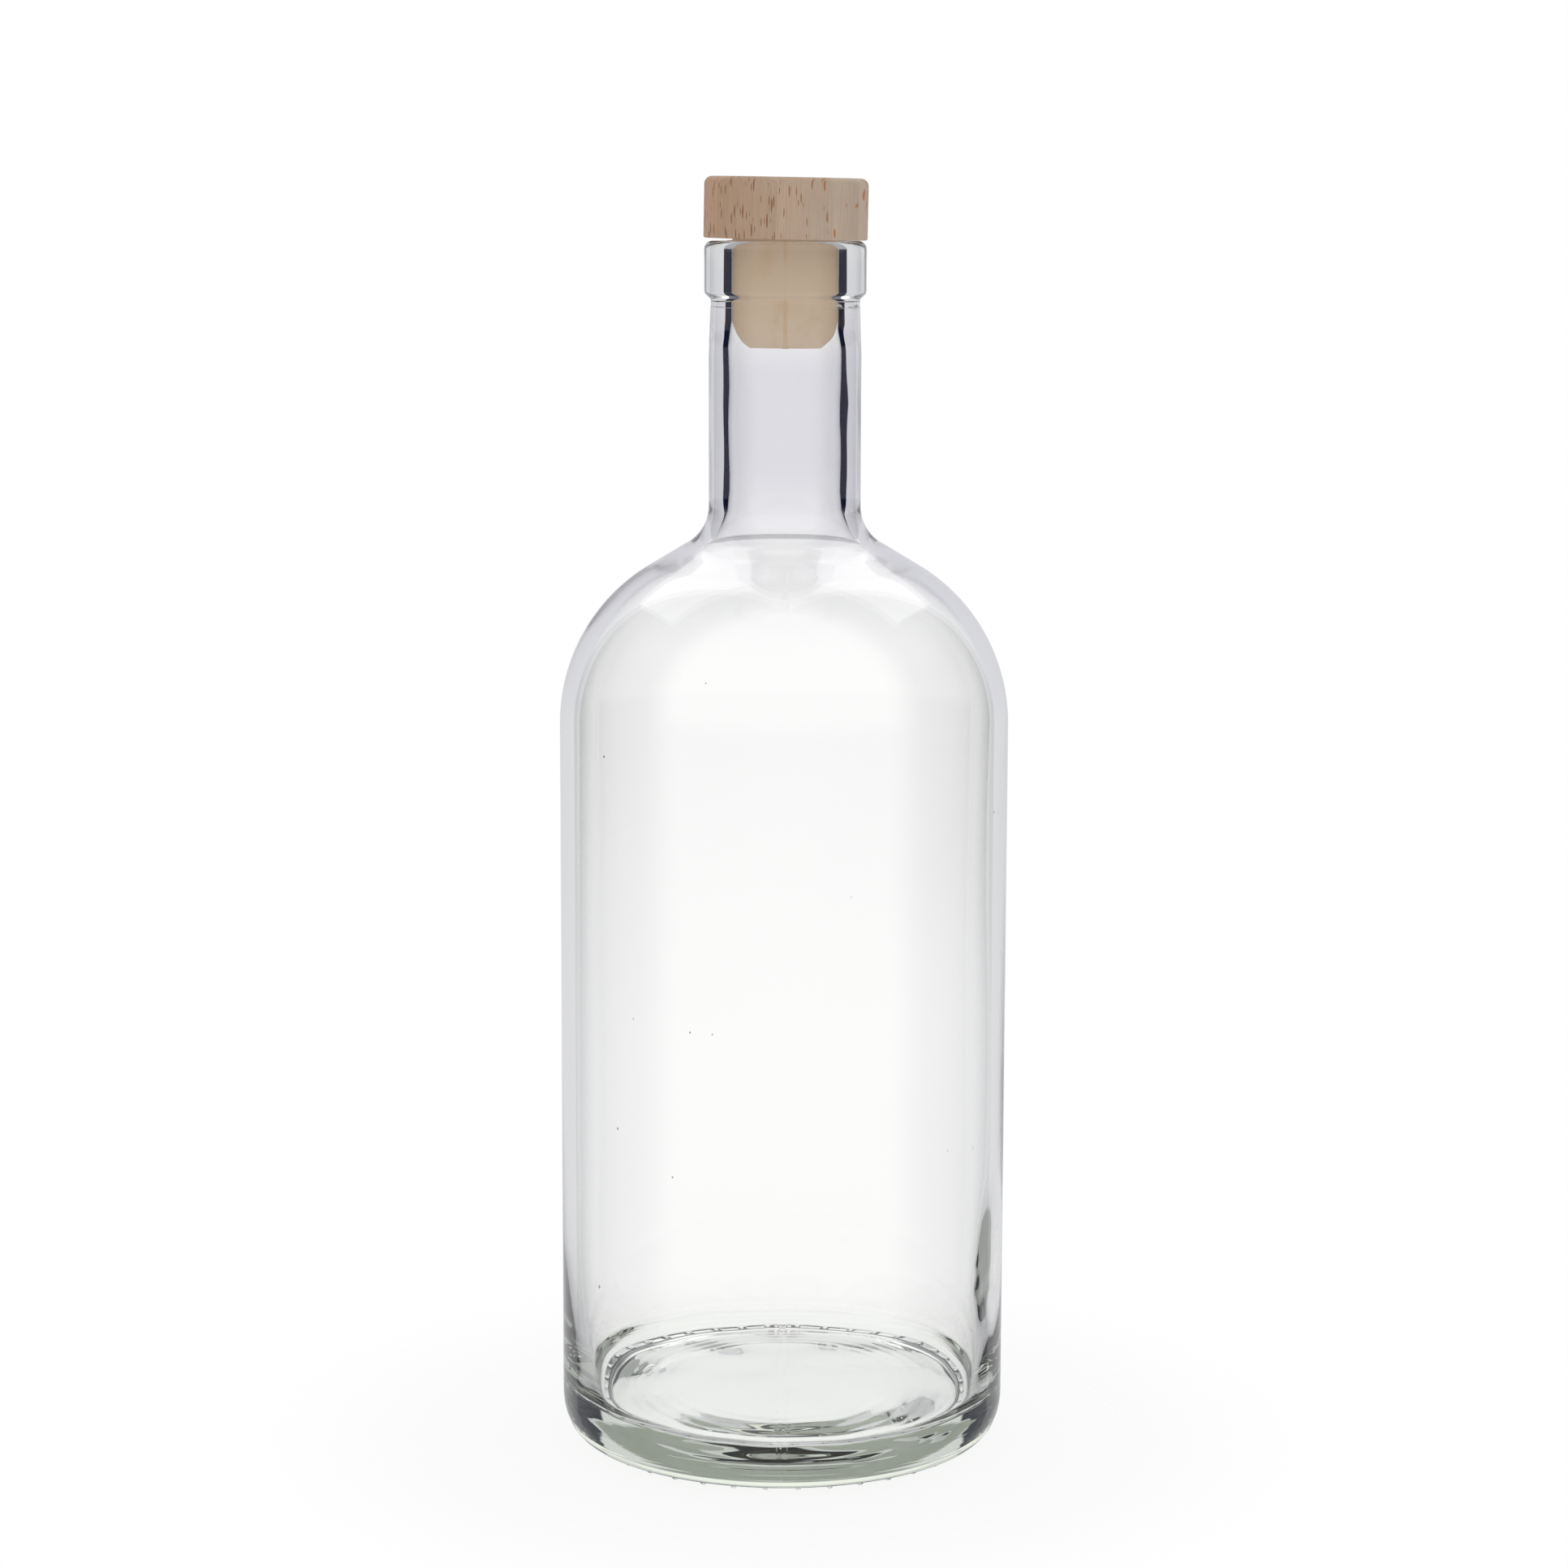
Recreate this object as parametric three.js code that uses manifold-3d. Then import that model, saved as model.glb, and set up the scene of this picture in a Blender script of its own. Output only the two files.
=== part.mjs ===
// Glass spirits bottle with a wooden bar-top stopper. Millimetres, +Z up, standing on Z = 0.
// Three pieces: the blown bottle, the turned stopper head and the moulded shank glued into the head.

import * as THREE from 'three';
import { mergeVertices } from 'three/addons/utils/BufferGeometryUtils.js';
import Module from 'manifold-3d';

// Facets around every turned piece. All share one phase, so the shank keeps an even gap to the bore.
const aroundSteps = 60;

// Outside of the body and shoulder
const bodyRadius = 41.75;
const heelDepth = 3.75; // how far the heel curve comes in
const heelHeight = 7.4; // how far the heel curve goes up
const shoulderStart = 135.9; // height where the straight wall turns into the dome
const domeRadius = 34;
const flareRadius = 8; // hollow curve where the shoulder runs into the neck
const neckStart = 176.3; // height where that curve ends
const neckRadius = 14.05;

// Underside: bearing ring, its stippling and the push-up
const ringLevel = 0.7; // glass between the stipples stands this far off the table
const ringInner = 35.7;
const ringOuter = bodyRadius - heelDepth;
const pushUpHeight = 4.4;
const pushUpEdge = 32.5;
const pushUpEdgeHeight = 2.1;
const stippleCount = 40;
const stippleLength = 1.9;
const stippleHalfWidth = 0.6;
const stippleTip = 0.26; // half-width of the flat it stands on

// Finish: the part of the neck that takes the stopper
const glassTop = 224.9;
const beadRadius = 14.9;
const beadEdge = 1.5; // rounding on the outer rim
const beadLowerEdge = 1.2; // rounding under the bead
const beadLowerHeight = 215.9;
const beadSlope = 50; // degrees, steepest place between bead and collar
const collarRadius = 13.7;
const collarHollow = 1.1;
const collarHeight = 213.8;
const partingHeight = 212.9; // where the neck ring of the mould meets the two body halves
const partingStep = 0.12;
const neckFullHeight = 204;

// Inside
const boreRadius = 9.85;
const boreEdge = 1.4;
const boreEnd = 210.5; // below this the bore opens out to the neck
const neckBoreRadius = 10.37;
const neckBoreStart = 204.8;
const innerFlareRadius = 16;
const innerFlareHeight = 179.5;
const wall = 2.8;
const floorHeight = 9.5;
const floorCrown = 1; // the floor rises this far over the push-up
const floorFillet = 2.8;

// Stopper
const headGap = 0.3; // head to rim
const headRadius = 15.05;
const headHeight = 11.2;
const headTopEdge = 1.4;
const headLowerEdge = 0.35;
const recessDepth = 3; // blind hole in the head for the shank
const glueGap = 0.15;
const shankRadius = 9.75;
const shankLength = 20; // below the head
const shankTopEdge = 0.4;
const leadHeight = 5.2; // tapered lead-in at the shank's lower end
const leadRadius = 6.85;

const headBottom = glassTop + headGap;

const wasm = await Module();
wasm.setup();

// Adds an arc to a profile of radius and height, corner points included. Angles in degrees.
function addArc(profile, centreR, centreZ, radiusR, radiusZ, from, to, steps) {
  for (let step = 0; step <= steps; step += 1) {
    const angle = THREE.MathUtils.degToRad(from + ((to - from) * step) / steps);
    profile.push(new THREE.Vector2(centreR + radiusR * Math.cos(angle), centreZ + radiusZ * Math.sin(angle)));
  }
}

function addPoint(profile, radius, height) {
  profile.push(new THREE.Vector2(radius, height));
}

// Adds a quadratic curve from the profile's last point.
function addCurve(profile, controlR, controlZ, endR, endZ, steps) {
  const start = profile[profile.length - 1];
  const control = new THREE.Vector2(controlR, controlZ);
  const curve = new THREE.QuadraticBezierCurve(start, control, new THREE.Vector2(endR, endZ));
  profile.push(...curve.getPoints(steps).slice(1));
}

// The straight line that touches a dome from outside and a hollow flare from inside
// leaves both at this angle above the horizontal, in degrees.
function tangentAngle(dome, flare) {
  const acrossR = flare.r - dome.r;
  const acrossZ = flare.z - dome.z;
  const reach = Math.hypot(acrossR, acrossZ);
  const turn = Math.acos((dome.radius + flare.radius) / reach);
  return THREE.MathUtils.radToDeg(Math.atan2(acrossZ, acrossR) - turn);
}

// A point on a shallow dome of the given crown height, at a share of its edge radius.
function crownHeight(edgeHeight, crown, share) {
  return edgeHeight + crown * (1 - share * share);
}

function addUnderside(profile) {
  const shares = [0, 0.5, 0.8];
  for (const share of shares) {
    const height = crownHeight(pushUpEdgeHeight, pushUpHeight - pushUpEdgeHeight, share);
    addPoint(profile, pushUpEdge * share, height);
  }
  addPoint(profile, pushUpEdge, pushUpEdgeHeight);
  addCurve(profile, ringInner - 0.7, pushUpEdgeHeight - 0.25, ringInner, ringLevel, 3);
}

function addOuterWall(profile) {
  addArc(profile, ringOuter, ringLevel + heelHeight, heelDepth, heelHeight, -90, 0, 6);
  const dome = { r: bodyRadius - domeRadius, z: shoulderStart, radius: domeRadius };
  const flare = { r: neckRadius + flareRadius, z: neckStart, radius: flareRadius };
  const angle = tangentAngle(dome, flare);
  addArc(profile, dome.r, dome.z, domeRadius, domeRadius, 0, angle, 9);
  addArc(profile, flare.r, flare.z, flareRadius, flareRadius, 180 + angle, 180, 6);
}

function addFinish(profile) {
  addPoint(profile, neckRadius, neckFullHeight);
  addPoint(profile, collarRadius + partingStep, partingHeight - partingStep);
  addPoint(profile, collarRadius, partingHeight);
  const hollowCentre = collarRadius + collarHollow;
  addArc(profile, hollowCentre, collarHeight, collarHollow, collarHollow, 180, 180 - beadSlope, 3);
  const lowerCentre = beadRadius - beadLowerEdge;
  addArc(profile, lowerCentre, beadLowerHeight, beadLowerEdge, beadLowerEdge, -beadSlope, 0, 3);
  addArc(profile, beadRadius - beadEdge, glassTop - beadEdge, beadEdge, beadEdge, 0, 90, 4);
}

// The bore opens out gently below the shank, along half a cosine wave.
function addBore(profile) {
  addArc(profile, boreRadius + boreEdge, glassTop - boreEdge, boreEdge, boreEdge, 90, 180, 4);
  const steps = 4;
  for (let step = 0; step <= steps; step += 1) {
    const share = step / steps;
    const widening = (1 - Math.cos(Math.PI * share)) / 2;
    const radius = THREE.MathUtils.lerp(boreRadius, neckBoreRadius, widening);
    addPoint(profile, radius, THREE.MathUtils.lerp(boreEnd, neckBoreStart, share));
  }
}

function addInside(profile) {
  const innerDomeRadius = domeRadius - wall;
  const dome = { r: bodyRadius - domeRadius, z: shoulderStart, radius: innerDomeRadius };
  const flare = { r: neckBoreRadius + innerFlareRadius, z: innerFlareHeight, radius: innerFlareRadius };
  const angle = tangentAngle(dome, flare);
  addArc(profile, flare.r, flare.z, innerFlareRadius, innerFlareRadius, 180, 180 + angle, 6);
  addArc(profile, dome.r, dome.z, innerDomeRadius, innerDomeRadius, angle, 0, 8);
  const filletCentre = bodyRadius - wall - floorFillet;
  addArc(profile, filletCentre, floorHeight + floorFillet, floorFillet, floorFillet, 0, -90, 6);
  addPoint(profile, filletCentre / 2, crownHeight(floorHeight, floorCrown, 0.5));
  addPoint(profile, 0, floorHeight + floorCrown);
}

// A lathe profile turned about Z: LatheGeometry turns about Y, so it is tipped up afterwards.
function turned(profile) {
  return new THREE.LatheGeometry(profile, aroundSteps).rotateX(Math.PI / 2);
}

// One stipple: a loaf-shaped bar lying along the radius, with its upper part inside the glass.
function stippleGeometry(angle) {
  const rootHeight = ringLevel + 0.4;
  const outline = new THREE.Shape();
  outline.moveTo(stippleTip, 0);
  outline.quadraticCurveTo(stippleHalfWidth * 0.95, ringLevel * 0.1, stippleHalfWidth, ringLevel);
  outline.lineTo(stippleHalfWidth, rootHeight);
  outline.lineTo(-stippleHalfWidth, rootHeight);
  outline.lineTo(-stippleHalfWidth, ringLevel);
  outline.quadraticCurveTo(-stippleHalfWidth * 0.95, ringLevel * 0.1, -stippleTip, 0);
  const bar = new THREE.ExtrudeGeometry(outline, {
    depth: stippleLength,
    bevelEnabled: false,
    curveSegments: 2,
  });
  const outward = new THREE.Vector3(Math.cos(angle), Math.sin(angle), 0);
  const up = new THREE.Vector3(0, 0, 1);
  const along = new THREE.Vector3().crossVectors(up, outward);
  const place = new THREE.Matrix4().makeBasis(along, up, outward);
  const innerEnd = (ringInner + ringOuter - stippleLength) / 2;
  place.setPosition(outward.multiplyScalar(innerEnd));
  return bar.applyMatrix4(place);
}

// A closed mesh with shared corners, as the boolean library wants it.
function toManifold(geometry) {
  const bare = geometry.clone();
  bare.deleteAttribute('normal');
  bare.deleteAttribute('uv');
  const merged = mergeVertices(bare, 1e-4);
  const corners = merged.index.array;
  const kept = [];
  for (let i = 0; i < corners.length; i += 3) {
    const [a, b, c] = [corners[i], corners[i + 1], corners[i + 2]];
    if (a !== b && b !== c && c !== a) {
      kept.push(a, b, c);
    }
  }
  const mesh = new wasm.Mesh({
    numProp: 3,
    vertProperties: new Float32Array(merged.attributes.position.array),
    triVerts: new Uint32Array(kept),
  });
  return new wasm.Manifold(mesh);
}

function fromManifold(solid) {
  const mesh = solid.getMesh();
  const geometry = new THREE.BufferGeometry();
  geometry.setAttribute('position', new THREE.BufferAttribute(new Float32Array(mesh.vertProperties), 3));
  geometry.setIndex(new THREE.BufferAttribute(new Uint32Array(mesh.triVerts), 1));
  geometry.computeVertexNormals();
  return geometry;
}

// The bottle is one profile from the push-up, round the outside and over the rim, down to the floor.
function bottleGeometry() {
  const profile = [];
  addUnderside(profile);
  addOuterWall(profile);
  addFinish(profile);
  addBore(profile);
  addInside(profile);
  let glass = toManifold(turned(profile));
  for (let i = 0; i < stippleCount; i += 1) {
    const angle = ((i + 0.5) / stippleCount) * 2 * Math.PI;
    glass = glass.add(toManifold(stippleGeometry(angle)));
  }
  return fromManifold(glass);
}

// Turned disc with a rounded top edge and a blind hole for the shank.
function headGeometry() {
  const top = headBottom + headHeight;
  const recessRadius = shankRadius + glueGap;
  const profile = [];
  addPoint(profile, 0, headBottom + recessDepth);
  addPoint(profile, recessRadius, headBottom + recessDepth);
  addPoint(profile, recessRadius, headBottom);
  const lowerCentre = headRadius - headLowerEdge;
  addArc(profile, lowerCentre, headBottom + headLowerEdge, headLowerEdge, headLowerEdge, -90, 0, 2);
  addArc(profile, headRadius - headTopEdge, top - headTopEdge, headTopEdge, headTopEdge, 0, 90, 5);
  addPoint(profile, 0, top);
  return turned(profile);
}

// Moulded plug: its top sits in the head and its lower end tapers in a slightly full curve.
function shankGeometry() {
  const top = headBottom + recessDepth - headGap;
  const bottom = headBottom - shankLength;
  const profile = [];
  addPoint(profile, 0, bottom);
  addPoint(profile, leadRadius, bottom);
  addCurve(profile, leadRadius + 1.95, bottom + 2.2, shankRadius, bottom + leadHeight, 5);
  addPoint(profile, shankRadius, top - shankTopEdge);
  addPoint(profile, shankRadius - shankTopEdge, top);
  addPoint(profile, 0, top);
  return turned(profile);
}

const glassMaterial = new THREE.MeshStandardMaterial({
  color: 0xdde3e1,
  roughness: 0.03,
  metalness: 0,
  transparent: true,
  opacity: 0.35,
});
const beechMaterial = new THREE.MeshStandardMaterial({ color: 0xb49d84, roughness: 0.6, metalness: 0 });
const shankMaterial = new THREE.MeshStandardMaterial({ color: 0xb5a286, roughness: 0.5, metalness: 0 });

function namedMesh(name, geometry, material) {
  const mesh = new THREE.Mesh(geometry, material);
  mesh.name = name;
  return mesh;
}

const bottleWithStopper = new THREE.Group();
bottleWithStopper.add(namedMesh('bottle', bottleGeometry(), glassMaterial));

const stopper = new THREE.Group();
stopper.add(namedMesh('stopper_head', headGeometry(), beechMaterial));
stopper.add(namedMesh('stopper_shank', shankGeometry(), shankMaterial));
bottleWithStopper.add(stopper);

export default bottleWithStopper;
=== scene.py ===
import math
import random

import bmesh
import bpy
from mathutils import Matrix, Vector, noise


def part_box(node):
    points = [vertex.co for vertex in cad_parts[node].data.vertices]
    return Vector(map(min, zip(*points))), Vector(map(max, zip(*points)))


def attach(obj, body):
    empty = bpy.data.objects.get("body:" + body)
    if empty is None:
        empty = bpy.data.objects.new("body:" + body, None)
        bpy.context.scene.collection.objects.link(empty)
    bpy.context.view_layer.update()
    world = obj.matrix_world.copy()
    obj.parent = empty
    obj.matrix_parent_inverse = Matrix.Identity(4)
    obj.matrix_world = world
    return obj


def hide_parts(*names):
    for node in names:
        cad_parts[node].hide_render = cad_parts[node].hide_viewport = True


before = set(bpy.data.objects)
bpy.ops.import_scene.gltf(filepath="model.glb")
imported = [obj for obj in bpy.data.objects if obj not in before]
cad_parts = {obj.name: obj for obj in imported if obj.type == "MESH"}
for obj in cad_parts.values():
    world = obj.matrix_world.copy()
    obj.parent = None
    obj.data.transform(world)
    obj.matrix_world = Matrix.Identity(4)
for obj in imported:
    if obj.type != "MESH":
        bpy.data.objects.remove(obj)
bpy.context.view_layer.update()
mm = 0.001
bottleLow, bottleHigh = [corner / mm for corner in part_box("bottle")]
headLow, headHigh = [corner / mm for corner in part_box("stopper_head")]
shankLow, shankHigh = [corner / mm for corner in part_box("stopper_shank")]
print("frame loaded")


# Small tools for outlines. An outline is a list of (radius, height) points in millimetres.

def arc(centre, radii, fromAngle, toAngle, steps):
    angles = [math.radians(fromAngle + (toAngle - fromAngle) * i / steps) for i in range(steps + 1)]
    return [(centre[0] + radii[0] * math.cos(a), centre[1] + radii[1] * math.sin(a)) for a in angles]


def line(start, end, steps):
    shares = [i / steps for i in range(steps + 1)]
    return [tuple(a + (b - a) * share for a, b in zip(start, end)) for share in shares]


def curve(start, control, end, steps):  # quadratic, as three.js and SVG draw it
    points = []
    for i in range(steps + 1):
        t = i / steps
        weighted = list(zip(((1 - t) ** 2, 2 * t * (1 - t), t ** 2), (start, control, end)))
        points.append(tuple(sum(w * p[axis] for w, p in weighted) for axis in (0, 1)))
    return points


def tangentAngle(dome, flare, reach):
    # the straight line that touches a dome from outside and a hollow flare from inside, above horizontal
    acrossR, acrossZ = flare[0] - dome[0], flare[1] - dome[1]
    turn = math.acos(reach / math.hypot(acrossR, acrossZ))
    return math.degrees(math.atan2(acrossZ, acrossR) - turn)


def ramp(value, start, end):  # 0 at start, 1 at end
    return min(1.0, max(0.0, (value - start) / (end - start)))


def withoutRepeats(points):
    return [p for i, p in enumerate(points) if i == 0 or math.dist(p, points[i - 1]) > 1e-6]


def spinOutline(outline, steps, insideFrom=None):
    # turns an outline round Z; the layer says which points lie on the inner wall
    bm = bmesh.new()
    inner = bm.verts.layers.float.new("innerWall")
    verts = [bm.verts.new((r * mm, 0, z * mm)) for r, z in outline]
    for i, vert in enumerate(verts):
        vert[inner] = 1.0 if insideFrom is not None and i >= insideFrom else 0.0
    edges = [bm.edges.new(pair) for pair in zip(verts, verts[1:])]
    bmesh.ops.spin(bm, geom=verts + edges, cent=(0, 0, 0), axis=(0, 0, 1), dvec=(0, 0, 0),
                   angle=2 * math.pi, steps=steps, use_merge=True, use_normal_flip=False,
                   use_duplicate=False)
    bmesh.ops.remove_doubles(bm, verts=bm.verts, dist=0.0005 * mm)
    bmesh.ops.recalc_face_normals(bm, faces=bm.faces)
    return bm


def makePiece(name, bm, material, sharpAngle=40):
    mesh = bpy.data.meshes.new(name)
    bm.to_mesh(mesh)
    bm.free()
    mesh.shade_smooth()
    mesh.set_sharp_from_angle(angle=math.radians(sharpAngle))
    mesh.materials.append(material)
    piece = bpy.data.objects.new(name, mesh)
    bpy.context.scene.collection.objects.link(piece)
    return piece


# Small tools for materials

def linear(hexColour):
    channels = [int(hexColour[i:i + 2], 16) / 255 for i in (1, 3, 5)]
    return tuple(c / 12.92 if c <= 0.04045 else ((c + 0.055) / 1.055) ** 2.4 for c in channels) + (1.0,)


def addNode(tree, kind, settings=None, inputs=None):
    node = tree.nodes.new(kind)
    for name, value in (settings or {}).items():
        setattr(node, name, value)
    for name, value in (inputs or {}).items():
        if isinstance(value, bpy.types.NodeSocket):
            tree.links.new(value, node.inputs[name])
        else:
            node.inputs[name].default_value = value
    return node


def newTree(name):
    material = bpy.data.materials.new(name)
    material.use_nodes = True
    material.node_tree.nodes.clear()
    return material, material.node_tree


# Flint glass: soda-lime glass, blown and fire polished. Clear where it is thin and faintly green
# where it is thick, with a surface that is slightly wavy and scuffed only where it stands.

glassLook = {
    "thickColour": "#cbe795",  # what long ways through the glass turn towards
    "density": 3.3,  # per metre
    "shadowTint": "#fafbfa",  # light that passes on its way to the floor or the stopper
    "neckPaintedShade": "#f1f0f4",  # painted shade: the neck and shoulder are drawn a little greyer, standing in for the darker room that the glass shows there
    "neckFrom": (152, 184),  # mm, heights over which that grows
    "neckTo": (201, 214),  # and over which it goes again
    "waveLength": 9.0,  # mm, waviness of the mould and the blown inside
    "waveHeight": 0.006,  # mm
    "scuffTop": 1.6,  # mm above the table, how high the standing wear reaches
    "scuffGrain": 0.5,  # mm
    "scuffRoughness": 0.35,
}


def flintGlass():
    look = glassLook
    material, tree = newTree("flint_glass_fire_polished")
    place = addNode(tree, "ShaderNodeTexCoord").outputs["Object"]
    height = addNode(tree, "ShaderNodeSeparateXYZ", {}, {0: place}).outputs["Z"]
    wave = addNode(tree, "ShaderNodeTexNoise", {}, {
        "Vector": place, "Scale": 1 / (look["waveLength"] * mm), "Detail": 1.0})
    bump = addNode(tree, "ShaderNodeBump", {}, {
        "Height": wave.outputs["Fac"], "Distance": look["waveHeight"] * mm, "Strength": 1.0})
    grain = addNode(tree, "ShaderNodeTexNoise", {}, {
        "Vector": place, "Scale": 1 / (look["scuffGrain"] * mm), "Detail": 3.0})
    nearTable = addNode(tree, "ShaderNodeMapRange", {"interpolation_type": "SMOOTHSTEP"}, {
        "Value": height, "From Min": look["scuffTop"] * mm, "From Max": 0.0,
        "To Min": 0.0, "To Max": look["scuffRoughness"]})
    scuff = addNode(tree, "ShaderNodeMath", {"operation": "MULTIPLY"}, {
        0: nearTable.outputs[0], 1: grain.outputs["Fac"]})
    neckShare = []
    for low, high in (look["neckFrom"], look["neckTo"]):
        neckShare.append(addNode(tree, "ShaderNodeMapRange", {}, {
            "Value": height, "From Min": low * mm, "From Max": high * mm}).outputs[0])
    inNeck = addNode(tree, "ShaderNodeMath", {"operation": "SUBTRACT"}, {
        0: neckShare[0], 1: neckShare[1]})
    # painted shade: over the neck and shoulder the glass's colour turns greyer, so that less of the white
    # backdrop comes through there
    skin = addNode(tree, "ShaderNodeMix", {"data_type": "RGBA"}, {
        0: inNeck.outputs[0], 6: (1, 1, 1, 1), 7: linear(look["neckPaintedShade"])})
    glass = addNode(tree, "ShaderNodeBsdfPrincipled", {}, {
        "Base Color": skin.outputs[2], "Roughness": scuff.outputs[0], "IOR": 1.52,
        "Transmission Weight": 1.0, "Normal": bump.outputs[0]})
    clear = addNode(tree, "ShaderNodeBsdfTransparent", {}, {"Color": linear(look["shadowTint"])})
    path = addNode(tree, "ShaderNodeLightPath")
    lamps = addNode(tree, "ShaderNodeMath", {"operation": "MAXIMUM"}, {
        0: path.outputs["Is Shadow Ray"], 1: path.outputs["Is Diffuse Ray"]})
    surface = addNode(tree, "ShaderNodeMixShader", {}, {
        0: lamps.outputs[0], 1: glass.outputs[0], 2: clear.outputs[0]})
    inside = addNode(tree, "ShaderNodeVolumeAbsorption", {}, {
        "Color": linear(look["thickColour"]), "Density": look["density"]})
    addNode(tree, "ShaderNodeOutputMaterial", {}, {
        "Surface": surface.outputs[0], "Volume": inside.outputs[0]})
    return material


# Beech: turned and sanded, no lacquer. Pale pinkish brown with fine upright fibres, short dark
# ray spindles where the ray ends show and broad orange flecks where the rays lie in the surface.

beechLook = {
    "warm": "#bb9373",
    "pale": "#c2b19e",
    "spindle": "#6a3f26",
    "fleck": "#b0713c",
    "rayDirection": 30,  # degrees from +Y towards +X, the tree's radial direction
    "rayCell": (0.36, 7.0, 3.4),  # mm across, along and up: room that each ray has
    "raySize": 0.33,  # share of its room
    "rayBend": (1.1, 0.3, 0.3),  # how far a ray strays, as shares of its room
    "rayStrength": 0.9,
    "cloud": 5.0,  # mm
    "paleFrom": -13,  # mm across, where the warm side starts to turn
    "paleTo": 9,  # and where it is all pale
    "relief": 0.03,  # mm, depth of the open fibres
    "fibre": (0.22, 0.22, 9.0),  # mm
    "ringSpacing": 3.4,  # mm
}


def beech():
    look = beechLook
    material, tree = newTree("beech_turned_sanded")
    place = addNode(tree, "ShaderNodeTexCoord").outputs["Object"]
    turned = addNode(tree, "ShaderNodeMapping", {}, {
        "Vector": place, "Rotation": (0, 0, math.radians(look["rayDirection"]))})

    def scaled(size):
        return addNode(tree, "ShaderNodeVectorMath", {"operation": "MULTIPLY"}, {
            0: turned.outputs[0], 1: tuple(1 / (s * mm) for s in size)}).outputs[0]

    bend = addNode(tree, "ShaderNodeTexNoise", {}, {
        "Vector": turned.outputs[0], "Scale": 1 / (look["cloud"] * mm), "Detail": 4.0, "Roughness": 0.6})
    bent = addNode(tree, "ShaderNodeVectorMath", {"operation": "MULTIPLY_ADD"}, {
        0: bend.outputs["Color"], 1: look["rayBend"], 2: scaled(look["rayCell"])})
    rays = addNode(tree, "ShaderNodeTexVoronoi", {}, {"Vector": bent.outputs[0], "Scale": 1.0})
    some = addNode(tree, "ShaderNodeSeparateColor", {}, {0: rays.outputs["Color"]})
    size = addNode(tree, "ShaderNodeMapRange", {}, {
        "Value": some.outputs[0], "From Min": 0.25, "From Max": 1.0,
        "To Min": 0.02, "To Max": look["raySize"] * 1.3})
    edge = addNode(tree, "ShaderNodeMath", {"operation": "SUBTRACT"}, {
        0: size.outputs[0], 1: rays.outputs["Distance"]})
    ray = addNode(tree, "ShaderNodeMapRange", {}, {
        "Value": edge.outputs[0], "From Min": 0.0, "From Max": 0.06})

    fibres = addNode(tree, "ShaderNodeTexNoise", {}, {
        "Vector": scaled(look["fibre"]), "Scale": 1.0, "Detail": 4.0, "Roughness": 0.6})
    rings = addNode(tree, "ShaderNodeTexWave", {"bands_direction": "Y", "wave_profile": "SAW"}, {
        "Vector": scaled((look["ringSpacing"] * 6.28,) * 2 + (80.0,)), "Scale": 1.0, "Distortion": 1.5,
        "Detail": 2.0, "Detail Scale": 1.2})
    across = addNode(tree, "ShaderNodeSeparateXYZ", {}, {0: place})
    pale = addNode(tree, "ShaderNodeMapRange", {}, {
        "Value": across.outputs["X"], "From Min": look["paleFrom"] * mm, "From Max": look["paleTo"] * mm})
    cloudy = addNode(tree, "ShaderNodeTexNoise", {}, {
        "Vector": place, "Scale": 1 / (look["cloud"] * mm), "Detail": 3.0})
    blend = addNode(tree, "ShaderNodeMix", {"data_type": "FLOAT"}, {
        0: 0.35, 2: pale.outputs[0], 3: cloudy.outputs["Fac"]})
    ground = addNode(tree, "ShaderNodeMix", {"data_type": "RGBA"}, {
        0: blend.outputs[0], 6: linear(look["warm"]), 7: linear(look["pale"])})
    streak = addNode(tree, "ShaderNodeMapRange", {}, {
        "Value": fibres.outputs["Fac"], "From Min": 0.3, "From Max": 0.7, "To Min": 0.86, "To Max": 1.1})
    ringShade = addNode(tree, "ShaderNodeMapRange", {}, {
        "Value": rings.outputs["Fac"], "To Min": 1.04, "To Max": 0.93})
    shade = addNode(tree, "ShaderNodeMath", {"operation": "MULTIPLY"}, {
        0: streak.outputs[0], 1: ringShade.outputs[0]})
    grained = addNode(tree, "ShaderNodeVectorMath", {"operation": "SCALE"}, {
        0: ground.outputs[2], "Scale": shade.outputs[0]})
    rayColour = addNode(tree, "ShaderNodeMix", {"data_type": "RGBA"}, {
        0: pale.outputs[0], 6: linear(look["spindle"]), 7: linear(look["fleck"])})
    rayShare = addNode(tree, "ShaderNodeMath", {"operation": "MULTIPLY"}, {
        0: ray.outputs[0], 1: look["rayStrength"]})
    colour = addNode(tree, "ShaderNodeMix", {"data_type": "RGBA"}, {
        0: rayShare.outputs[0], 6: grained.outputs[0], 7: rayColour.outputs[2]})
    roughness = addNode(tree, "ShaderNodeMapRange", {}, {
        "Value": fibres.outputs["Fac"], "To Min": 0.5, "To Max": 0.72})
    relief = addNode(tree, "ShaderNodeMath", {"operation": "SUBTRACT"}, {
        0: fibres.outputs["Fac"], 1: ray.outputs[0]})
    bump = addNode(tree, "ShaderNodeBump", {}, {
        "Height": relief.outputs[0], "Distance": look["relief"] * mm, "Strength": 0.8})
    wood = addNode(tree, "ShaderNodeBsdfPrincipled", {}, {
        "Base Color": colour.outputs[2], "Roughness": roughness.outputs[0], "Normal": bump.outputs[0]})
    addNode(tree, "ShaderNodeOutputMaterial", {}, {"Surface": wood.outputs[0]})
    return material


# Thermoplastic elastomer: injection moulded, matt, skin tone, with faint flow clouds.

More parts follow.
